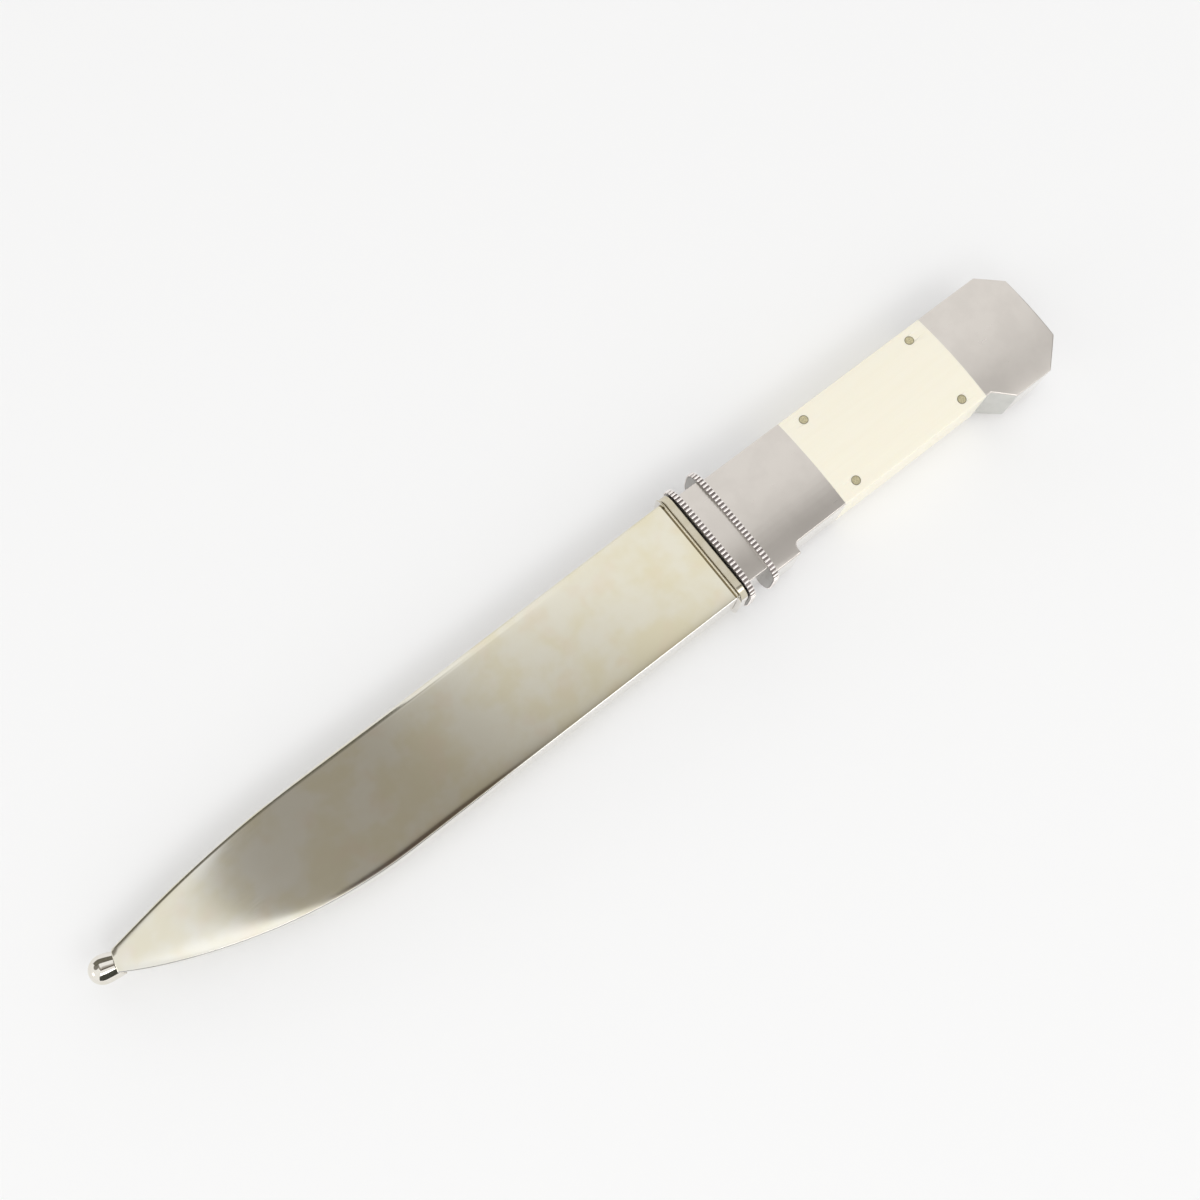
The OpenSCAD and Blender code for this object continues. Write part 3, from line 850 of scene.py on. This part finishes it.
@dataclass
class TipBall:
    """The polished ball at the sheath's tip and the cup, with two pointed lips, that holds it there.

    The cup starts a little tipward of the ball's middle and tapers away from it, outside and inside. Its
    profile pairs a share of its length with a wall, from the ball round the rim and back.
    """

    centre: tuple[float, float, float] = (-239.8, 8.0, 0.0)
    radius: float = 4.1
    turn: float = 17.0
    rim: float = 3.15
    lip: float = 1.45
    lip_from: float = 0.55
    lip_power: float = 1.6
    wall: float = 0.35
    cup_start: float = 0.8
    cup_slack: float = 0.06
    taper: float = 0.035
    taper_power: float = 1.15
    taper_deep: float = 0.03
    metal: Material = field(default_factory=BALL_METAL.build)
    segments: int = 72
    rows: int = 40

    def placed(self, points: list[Vector]) -> list[Vector]:
        """Turns points drawn along the tip's own axis to lie on that axis, round the ball's centre."""
        turn = Matrix.Rotation(math.radians(-self.turn), 3, "Z")
        return [Vector(self.centre) + turn @ point for point in points]

    def build(self) -> None:
        """Builds the ball and its cup."""
        angles = [2 * math.pi * i / self.segments for i in range(self.segments)]
        rings = []
        for row in range(self.rows + 1):
            turn = math.pi * (row + 0.5) / (self.rows + 1)
            rings.append(self.placed([self.radius * Vector((-math.cos(turn), math.sin(turn) * math.cos(a),
                                                            math.sin(turn) * math.sin(a))) for a in angles]))
        ball = loft("tip_ball_polished", rings, self.metal)
        smooth(ball, angle=60.0)
        put(ball, Body.SHEATH, Slot.SHEATH, "tip_ball")
        cup = loft("tip_cup", [self.placed(ring) for ring in self.cup_rings(angles)], self.metal)
        smooth(cup, angle=40.0)
        put(cup, Body.SHEATH, Slot.SHEATH, "ball_seat")
        dress("ball_peg", self.metal)

    def cup_rings(self, angles: list[float]) -> list[list[Vector]]:
        """Draws the cup along its own axis: outside from the ball to the rim, and back inside it.

        Args:
            angles: The angles round the axis, in radians, at which each ring has a point.

        Returns:
            The cup's rings, in order.
        """
        profile = ((0.0, 0.0), (0.35, 0.0), (0.7, 0.0), (1.0, 0.02), (1.0, self.wall), (0.55, self.wall), (0.1, 1.4))
        width = math.sqrt(self.radius ** 2 - self.cup_start ** 2) + self.cup_slack
        rings = []
        for share, inset in profile:
            ring = []
            for angle in angles:
                point = max(0.0, abs(math.cos(angle)) - self.lip_from) / (1 - self.lip_from)
                length = share * (self.rim + self.lip * point ** self.lip_power)
                narrow, deep = 1 - self.taper * length ** self.taper_power, 1 - self.taper_deep * length
                ring.append(Vector((self.cup_start + length, (width * narrow - inset) * math.cos(angle),
                                    (width * deep - inset) * math.sin(angle))))
            rings.append(ring)
        return rings


@dataclass
class Guard:
    """The two milled collars with the plain block between them."""

    collar_xs: tuple[float, float] = (-38.8, -30.2)
    width: float = 40.6
    height: float = 21.2
    power: float = 4.0
    flat: float = 8.0
    thickness: float = 1.8
    notches: int = 80
    tooth_radius: float = 0.4
    tooth_depth: float = 0.5
    end_taper: float = 0.12
    end_power: float = 6.0
    block_round: float = 0.25
    metal: Material = field(default_factory=COLLAR_METAL.build)
    # Darker finish for the collars' flat faces: painted shade
    face_metal: Material = field(default_factory=FACE_SHADE_METAL.build)
    # Darker finish for the grooves of the milling: painted shade
    painted_shade: Material = field(default_factory=GROOVE_SHADE_METAL.build)
    block_metal: Material = field(default_factory=GRIP_METAL.build)
    # Lighter finish for the narrow sides: painted light
    sides: Material = field(default_factory=SIDE_LIGHT_METAL.build)

    def outline(self, inset: float, count: int = 736) -> Mesh:
        """Draws the collar's oval, with its flat top and bottom, inside its outer edge.

        Args:
            inset: How far inside the outer edge it lies.
            count: The number of its points.

        Returns:
            The oval as a closed loop of edges.
        """
        half_w, half_h = self.width / 2 - inset, self.height / 2 - inset
        share = (1 - (self.flat / self.width) ** self.power) ** (1 / self.power)
        points = []
        for i in range(count):
            angle = 2 * math.pi * i / count
            across, up = math.cos(angle), math.sin(angle)
            reach = (abs(across / half_w) ** self.power + abs(up * share / half_h) ** self.power) ** (-1 / self.power)
            points.append((reach * across, math.copysign(min(half_h, reach * abs(up)), up)))
        return closed_path(points)

    def plate_share(self) -> float:
        """Gives the plate's size as a share of the teeth's path, so that the milling has its depth."""
        return 1 - (self.tooth_depth - self.tooth_radius) / (self.width / 2)

    def tree(self) -> Tree:
        """Builds the tree that sets round teeth along an outline and fills it with a plate.

        Returns:
            The geometry tree.
        """
        tree, sizes = start_tree("milled_collar", ("Thickness", "Tooth radius", "Number of teeth", "Plate share"))
        given = sizes.outputs
        path = add_node(tree, "GeometryNodeMeshToCurve", (given["Path"],)).outputs[0]
        spaced = add_node(tree, "GeometryNodeResampleCurve", {"Curve": path, "Count": given["Number of teeth"]},
                          mode="COUNT").outputs[0]
        tooth = add_node(tree, "GeometryNodeMeshCylinder",
                         {"Vertices": 12, "Side Segments": 4, "Radius": given["Tooth radius"],
                          "Depth": given["Thickness"]}).outputs["Mesh"]
        at = add_node(tree, "GeometryNodeInputPosition").outputs[0]
        height = add_node(tree, "ShaderNodeSeparateXYZ", (at,)).outputs["Z"]
        half = add_node(tree, MATH, (given["Thickness"], 2.0), operation="DIVIDE").outputs[0]
        share = add_node(tree, MATH, (height, half), operation="DIVIDE").outputs[0]
        share = add_node(tree, MATH, (share,), operation="ABSOLUTE").outputs[0]
        steep = add_node(tree, MATH, (share, self.end_power), operation="POWER").outputs[0]
        narrow = add_node(tree, MATH, (steep, -self.end_taper, 1.0), operation="MULTIPLY_ADD").outputs[0]
        scale = add_node(tree, "ShaderNodeCombineXYZ", (narrow, narrow, 1.0)).outputs[0]
        eased = add_node(tree, VECTOR, (at, scale), operation="MULTIPLY").outputs[0]
        tooth = add_node(tree, "GeometryNodeSetPosition", {"Geometry": tooth, "Position": eased}).outputs[0]
        teeth = add_node(tree, "GeometryNodeInstanceOnPoints", {"Points": spaced, "Instance": tooth}).outputs[0]
        filled = add_node(tree, "GeometryNodeFillCurve", {"Curve": path}, mode="NGONS").outputs[0]
        down = add_node(tree, MATH, (half, -1.0), operation="MULTIPLY").outputs[0]
        back = add_node(tree, "ShaderNodeCombineXYZ", {"Z": down}).outputs[0]
        low = add_node(tree, "GeometryNodeTransform", {"Geometry": filled, "Translation": back,
                                                       "Scale": given["Plate share"]}).outputs[0]
        lifted = add_node(tree, "GeometryNodeExtrudeMesh", {"Mesh": low, "Offset Scale": given["Thickness"],
                                                            "Individual": False}, mode="FACES").outputs
        under = add_node(tree, "GeometryNodeFlipFaces", (low,)).outputs[0]
        rim = add_node(tree, "GeometryNodeStoreNamedAttribute",
                       {"Geometry": lifted["Mesh"], "Name": "groove", "Value": lifted["Side"]},
                       data_type="BOOLEAN", domain="FACE").outputs[0]
        plate = add_node(tree, "GeometryNodeJoinGeometry")
        for part in (rim, under):
            tree.links.new(part, plate.inputs[0])
        closed = add_node(tree, "GeometryNodeMergeByDistance", {"Geometry": plate.outputs[0],
                                                                "Distance": 0.001}).outputs[0]
        # The collars' flat faces take the darker finish: painted shade
        with_face_shade = add_node(tree, "GeometryNodeSetMaterial", {"Geometry": closed, "Material": self.face_metal}).outputs[0]
        # The plate's rim between the teeth takes the darker finish: painted shade in the grooves
        groove_faces = add_node(tree, "GeometryNodeInputNamedAttribute", {"Name": "groove"}, data_type="BOOLEAN")
        dressed = add_node(tree, "GeometryNodeSetMaterial",
                           {"Geometry": with_face_shade, "Selection": groove_faces.outputs["Attribute"], "Material": self.painted_shade})
        bright = add_node(tree, "GeometryNodeSetMaterial", {"Geometry": teeth, "Material": self.metal}).outputs[0]
        whole = add_node(tree, "GeometryNodeJoinGeometry")
        for part in (dressed.outputs[0], bright):
            tree.links.new(part, whole.inputs[0])
        real = add_node(tree, "GeometryNodeRealizeInstances", (whole.outputs[0],)).outputs[0]
        add_node(tree, "NodeGroupOutput", (real,))
        return tree

    def build(self) -> None:
        """Builds the collars and the block."""
        tree = self.tree()
        for name, node, x in zip(("collar_by_sheath", "collar_by_grip"), ("front_collar", "rear_collar"),
                                 self.collar_xs):
            place = Matrix.Translation((x + self.thickness / 2, 0, 0)) @ STAND_UP
            collar = grow(name, tree, self.outline(self.tooth_radius),
                          {"Thickness": self.thickness, "Tooth radius": self.tooth_radius,
                           "Number of teeth": self.notches, "Plate share": self.plate_share()}, place)
            smooth(collar, angle=40.0)
            put(collar, Body.KNIFE, Slot.NICKEL, node)
        seams = (self.collar_xs[0] + self.thickness, self.collar_xs[1])
        block = soften("guard_block", "block_between_collars", self.block_round, seams, self.block_metal)
        finish_sides(block, self.sides)
        put(block, Body.KNIFE, Slot.NICKEL, "guard_block")


@dataclass
class Grip:
    """Bolster, the two scales with their pins, and the pommel."""

    scale_length: float = 55.0
    half_width: float = 15.5
    face_z: float = 9.45
    crown: float = 1.2
    bolster_length: float = 28.4
    edge_round: float = 0.4
    pin_radius: float = 1.4
    pin_edge: float = 3.7
    pin_end: float = 6.8
    pin_proud: float = 0.02
    metal: Material = field(default_factory=GRIP_METAL.build)
    # Lighter finish for the narrow sides: painted light
    sides: Material = field(default_factory=SIDE_LIGHT_METAL.build)
    flank_metal: Material = field(default_factory=FLANK_METAL.build)
    resin: Material = field(default_factory=lambda: ScaleFinish().build())

    def pin_tree(self, material: Material) -> Tree:
        """Builds the tree that sets a pin at each point and grinds its ends to the grip's crowned faces.

        Args:
            material: The pins' finish.

        Returns:
            The geometry tree.
        """
        tree, sizes = start_tree("ground_pins", ("Pin radius", "Crown radius", "Face height", "Proud"))
        given = sizes.outputs
        pin = add_node(tree, "GeometryNodeMeshCylinder", {"Vertices": 40, "Fill Segments": 3,
                                                          "Radius": given["Pin radius"], "Depth": 2.0}).outputs["Mesh"]
        points = add_node(tree, "GeometryNodeMeshToPoints", (given["Path"],)).outputs[0]
        pins = add_node(tree, "GeometryNodeInstanceOnPoints", {"Points": points, "Instance": pin}).outputs[0]
        real = add_node(tree, "GeometryNodeRealizeInstances", (pins,)).outputs[0]
        at = add_node(tree, "ShaderNodeSeparateXYZ",
                      (add_node(tree, "GeometryNodeInputPosition").outputs[0],)).outputs
        square = add_node(tree, MATH, (at["Y"], at["Y"]), operation="MULTIPLY").outputs[0]
        double = add_node(tree, MATH, (given["Crown radius"], 2.0), operation="MULTIPLY").outputs[0]
        fall = add_node(tree, MATH, (square, double), operation="DIVIDE").outputs[0]
        top = add_node(tree, MATH, (given["Face height"], fall), operation="SUBTRACT").outputs[0]
        proud = add_node(tree, MATH, (top, given["Proud"]), operation="ADD").outputs[0]
        height = add_node(tree, MATH, (at["Z"], proud), operation="MULTIPLY").outputs[0]
        ground = add_node(tree, "ShaderNodeCombineXYZ", (at["X"], at["Y"], height)).outputs[0]
        shaped = add_node(tree, "GeometryNodeSetPosition", {"Geometry": real, "Position": ground}).outputs[0]
        end_tree(tree, shaped, material)
        return tree

    def build(self) -> None:
        """Builds the grip's pieces and dresses what stays from the model."""
        pin_y, half = self.half_width - self.pin_edge, self.scale_length / 2
        spread = half - self.pin_end
        brass = PinFinish(half, spread, pin_y, self.pin_radius).build()
        for node, name in (("scale_front", "front_scale"), ("scale_back", "back_scale")):
            scale = soften(node, name, self.edge_round, (0.0, self.scale_length), self.resin)
            put(scale, Body.KNIFE, Slot.SCALE, node)
        path = bpy.data.meshes.new("pin_places")
        path.from_pydata([(half + x * spread, y * pin_y, 0.0) for x in (-1, 1) for y in (-1, 1)], [], [])
        crown_radius = (self.half_width ** 2 + self.crown ** 2) / (2 * self.crown)
        pins = grow("ground_pins", self.pin_tree(brass), path,
                    {"Pin radius": self.pin_radius, "Crown radius": crown_radius, "Face height": self.face_z,
                     "Proud": self.pin_proud}, Matrix.Identity(4))
        smooth(pins, angle=40.0)
        put(pins, Body.KNIFE, Slot.PIN, "scale_pins")
        bolster = soften("bolster", "bolster_rubbed", self.edge_round, (-self.bolster_length, 0.0), self.metal)
        finish_sides(bolster, self.sides)
        put(bolster, Body.KNIFE, Slot.NICKEL, "bolster")
        pommel = soften("pommel", "pommel_rubbed", self.edge_round, (self.scale_length,), self.metal)
        finish_sides(pommel, self.sides)
        finish_sides(pommel, self.flank_metal, Vector((-1, 0, 0)))
        put(pommel, Body.KNIFE, Slot.NICKEL, "pommel")
        for node in ("bolster_pin", "pommel_pin"):
            dress(node, self.metal)
        dress("blade", BLADE_STEEL.build())


@dataclass(frozen=True)
class Zone:
    """A round place in the surroundings: its direction, where it fades in degrees, and its colour."""

    direction: tuple[float, float, float]
    inner: float
    outer: float
    colour: str


@dataclass(frozen=True)
class Lamp:
    """A soft lamp: its name, its place and size in metres, and its watts."""

    name: str
    place: tuple[float, float, float]
    size: tuple[float, float]
    watts: float


@dataclass
class Studio:
    """The pale table, the white surroundings with the dark space over the sheath, and the camera."""

    camera_place: tuple[float, float, float] = (-135.79, -57.70, 363.91)
    right: tuple[float, float, float] = (0.787082, -0.616237, 0.027456)
    up: tuple[float, float, float] = (0.593280, 0.768444, 0.239818)
    forward: tuple[float, float, float] = (0.168882, 0.172467, -0.970430)
    lens_mm: float = 39.0
    sensor_mm: float = 36.0
    clip: tuple[float, float] = (0.01, 20.0)
    floor_side: float = 6.0
    floor_colour: str = "#E6E6E6"
    floor_glow: float = 0.2
    floor_grain_mm: float = 0.8
    floor_grain_depth_mm: float = 0.02
    strength: float = 1.2
    white: str = "#E9E9E9"
    dark: str = "#95918A"
    patch_centre: tuple[float, float] = (0.0, 0.17)
    patch_reach: tuple[float, float, float] = (0.231, 0.36, 0.9)
    patch_edge: tuple[float, float] = (1.03, 0.93)
    patch_tilt: float = 0.9
    patch_lift: tuple[float, float] = (0.044, 0.344)
    patch_gate: tuple[float, float] = (-0.06, 0.03)
    streak: str = "#453A34"
    streak_centre: tuple[float, float] = (-0.085, -0.035)
    streak_reach: tuple[float, float] = (0.115, 0.055)
    streak_edge: tuple[float, float] = (1.2, 0.7)
    least_rise: float = 0.02
    card_places: tuple[tuple, ...] = (
        ("card_beyond_spine", "#68655A", (-0.29, 0.26), (-0.06, 0.26), (0.03, 0.28)),
        ("card_beyond_belly", "#3F413A", (-0.62, -0.33), (-0.04, -0.33), (0.0, 0.42)),
        ("card_beyond_butt", "#5F5B59", (0.62, -0.36), (0.62, 0.1), (0.03, 0.48)))
    bright: tuple[Zone, ...] = (Zone((-0.24, 0.02, 1.0), 3.0, 7.0, "#FFFFFF"),)
    gaps: tuple[Zone, ...] = (Zone((-0.35, 0.62, 0.7), 18.5, 22.5, "#7C7973"),
                              Zone((0.36, -0.18, 1.0), 5.5, 11.0, "#55524F"))
    lamp_places: tuple[Lamp, ...] = (Lamp("main_lamp", (0.45, -1.26, 1.64), (1.0, 0.6), 4.0),
                                     Lamp("tip_lamp", (-0.66, -0.78, 1.19), (0.45, 0.45), 1.7),
                                     Lamp("low_lamp", (-1.27, 0.18, 0.39), (0.3, 0.3), 0.6))

    def floor(self) -> None:
        """Lays the table's top, matt white acrylic that a lamp beneath lights faintly, under the lowest point."""
        half = self.floor_side / 2
        mesh = bpy.data.meshes.new("table_top")
        corners = [(-half, -half, 0.0), (half, -half, 0.0), (half, half, 0.0), (-half, half, 0.0)]
        mesh.from_pydata(corners, [], [(0, 1, 2, 3)])
        material, tree, shader, place = start_material("matt_white_table")
        grain = add_node(tree, NOISE, {"Vector": place, "Scale": 1 / self.floor_grain_mm, "Detail": 2.0}).outputs[0]
        bump = add_node(tree, BUMP, {"Height": grain, "Strength": 0.2, "Distance": self.floor_grain_depth_mm * MM})
        tone = linear(self.floor_colour)
        fill(tree, shader, {"Normal": bump.outputs[0], "Base Color": tone, "Emission Color": tone,
                            "Emission Strength": self.floor_glow, "Roughness": 0.9, "Specular IOR Level": 0.1})
        mesh.materials.append(material)
        link("table_top", mesh)

    def spot(self, tree: Tree, slopes: tuple[Socket, Socket],
             centre: tuple[float, float], reach: tuple[float, ...]) -> Socket:
        """Gives the distance from an oval's middle, as a share of its reach, among the directions overhead.

        Args:
            tree: The world's tree.
            slopes: How far a direction leans along X and Y for each metre up.
            centre: The oval's middle, as such leans.
            reach: Its reach along X, below its middle in Y and, where given, above it.

        Returns:
            The distance, which is 1 at the oval's edge.
        """
        along = add_node(tree, MATH, (slopes[0], centre[0]), operation="SUBTRACT").outputs[0]
        across = add_node(tree, MATH, (slopes[1], centre[1]), operation="SUBTRACT").outputs[0]
        long_share = add_node(tree, MATH, (along, reach[0]), operation="DIVIDE").outputs[0]
        below = add_node(tree, MATH, (across, -reach[1]), operation="DIVIDE").outputs[0]
        above = add_node(tree, MATH, (across, reach[-1]), operation="DIVIDE").outputs[0]
        wide_share = add_node(tree, MATH, (below, above), operation="MAXIMUM").outputs[0]
        pair = add_node(tree, "ShaderNodeCombineXYZ", (long_share, wide_share, 0.0)).outputs[0]
        return add_node(tree, VECTOR, (pair,), operation="LENGTH").outputs["Value"]

    def overhead(self, tree: Tree, slopes: tuple[Socket, Socket]) -> Socket:
        """Masks the dark space over the table: a crisp oval edge toward the tip, a slow fade toward the grip.

        Args:
            tree: The world's tree.
            slopes: How far a direction leans along X and Y for each metre up.

        Returns:
            The share of the dark space in a direction, from 0 to 1.
        """
        tipward = add_node(tree, MATH, (slopes[0], self.patch_centre[0]), operation="MINIMUM").outputs[0]
        radius = self.spot(tree, (tipward, slopes[1]), self.patch_centre, self.patch_reach)
        far, near = self.patch_edge
        oval = add_node(tree, RANGE, {"Value": radius, "From Min": far, "From Max": near},
                        interpolation_type="SMOOTHSTEP").outputs[0]
        tilt = add_node(tree, MATH, (slopes[1], self.patch_tilt, slopes[0]), operation="MULTIPLY_ADD").outputs[0]
        lift, gate = (add_node(tree, RANGE, {"Value": value, "From Min": begin, "From Max": end}).outputs[0]
                      for value, (begin, end) in ((tilt, self.patch_lift), (slopes[0], self.patch_gate)))
        gated = add_node(tree, MATH, (lift, gate), operation="MULTIPLY").outputs[0]
        fade = add_node(tree, MATH, (1.0, gated), operation="SUBTRACT").outputs[0]
        return add_node(tree, MATH, (oval, fade), operation="MULTIPLY").outputs[0]

    def surroundings(self) -> None:
        """Makes the white surroundings with the dark space overhead and the room's darker and brighter places."""
        world = bpy.data.worlds.new("white_tent")
        world.use_nodes = True
        tree = world.node_tree
        way = add_node(tree, "ShaderNodeTexCoord").outputs["Generated"]
        parts = add_node(tree, "ShaderNodeSeparateXYZ", (way,)).outputs
        rise = add_node(tree, MATH, (parts["Z"], self.least_rise), operation="MAXIMUM").outputs[0]
        slopes = tuple(add_node(tree, MATH, (parts[side], rise), operation="DIVIDE").outputs[0] for side in "XY")
        masks = [(self.round_mask(tree, way, zone), zone.colour) for zone in self.bright]
        masks.append((self.overhead(tree, slopes), self.dark))
        streak = self.spot(tree, slopes, self.streak_centre, self.streak_reach)
        far, near = self.streak_edge
        masks.append((add_node(tree, RANGE, {"Value": streak, "From Min": far, "From Max": near},
                               interpolation_type="SMOOTHSTEP").outputs[0], self.streak))
        masks.extend((self.round_mask(tree, way, zone), zone.colour) for zone in self.gaps)
        colour = linear(self.white)
        for mask, tone in masks:
            colour = add_node(tree, MIX, {0: mask, 6: colour, 7: linear(tone)}, data_type="RGBA").outputs[2]
        fill(tree, tree.nodes["Background"], {"Color": colour, "Strength": self.strength})
        bpy.context.scene.world = world

    def round_mask(self, tree: Tree, way: Socket, zone: Zone) -> Socket:
        """Masks a round zone of the surroundings.

        Args:
            tree: The world's tree.
            way: The direction.
            zone: The zone.

        Returns:
            Its share in that direction, from 0 to 1.
        """
        towards = add_node(tree, VECTOR, (way, tuple(Vector(zone.direction).normalized())),
                           operation="DOT_PRODUCT").outputs["Value"]
        outer, inner = (math.cos(math.radians(angle)) for angle in (zone.outer, zone.inner))
        return add_node(tree, RANGE, {"Value": towards, "From Min": outer, "From Max": inner},
                        interpolation_type="SMOOTHSTEP").outputs[0]

    def lamps(self) -> None:
        """Hangs the soft lamps: the main one over the belly side, one beyond the tip and a low one behind it."""
        for lamp in self.lamp_places:
            data = bpy.data.lights.new(lamp.name, "AREA")
            data.shape, data.energy = "RECTANGLE", lamp.watts
            data.size, data.size_y = lamp.size
            hung = link(lamp.name, data)
            hung.location = lamp.place
            hung.rotation_euler = (-hung.location).to_track_quat("-Z", "Y").to_euler()

    def cards(self) -> None:
        """Stands dark cards round the table, outside the picture, which only the polished metal shows."""
        for name, colour, begin, end, (low_z, high_z) in self.card_places:
            material = bpy.data.materials.new(name)
            material.use_nodes = True
            shader = material.node_tree.nodes["Principled BSDF"]
            fill(material.node_tree, shader, {"Base Color": linear(colour), "Roughness": 0.9})
            mesh = bpy.data.meshes.new(name)
            mesh.from_pydata([(*begin, low_z), (*end, low_z), (*end, high_z), (*begin, high_z)], [], [(0, 1, 2, 3)])
            mesh.materials.append(material)
            card = link(name, mesh)
            card.visible_camera = card.visible_diffuse = card.visible_shadow = False

    def camera(self) -> None:
        """Sets the camera where the photo's own edges put it."""
        data = bpy.data.cameras.new("camera")
        data.lens, data.sensor_width = self.lens_mm, self.sensor_mm
        data.clip_start, data.clip_end = self.clip
        camera = link("camera", data)
        turn = Matrix((self.right, self.up, [-part for part in self.forward])).transposed().to_4x4()
        camera.matrix_world = Matrix.Translation(TO_ROW @ Vector(self.camera_place)) @ turn
        bpy.context.scene.camera = camera

    def build(self) -> None:
        """Builds the stage."""
        self.floor()
        self.surroundings()
        self.lamps()
        self.cards()
        self.camera()
        bpy.context.scene.view_settings.view_transform = "Standard"


def main() -> None:
    """Builds the stage and the pieces in order."""
    logging.basicConfig(level=logging.INFO, format="%(name)s %(message)s")
    for maker in (Studio, Sheath, Throat, TipBall, Guard, Grip):
        LOG.info("building %s", maker.__name__)
        maker().build()


if __name__ == "__main__":
    main()
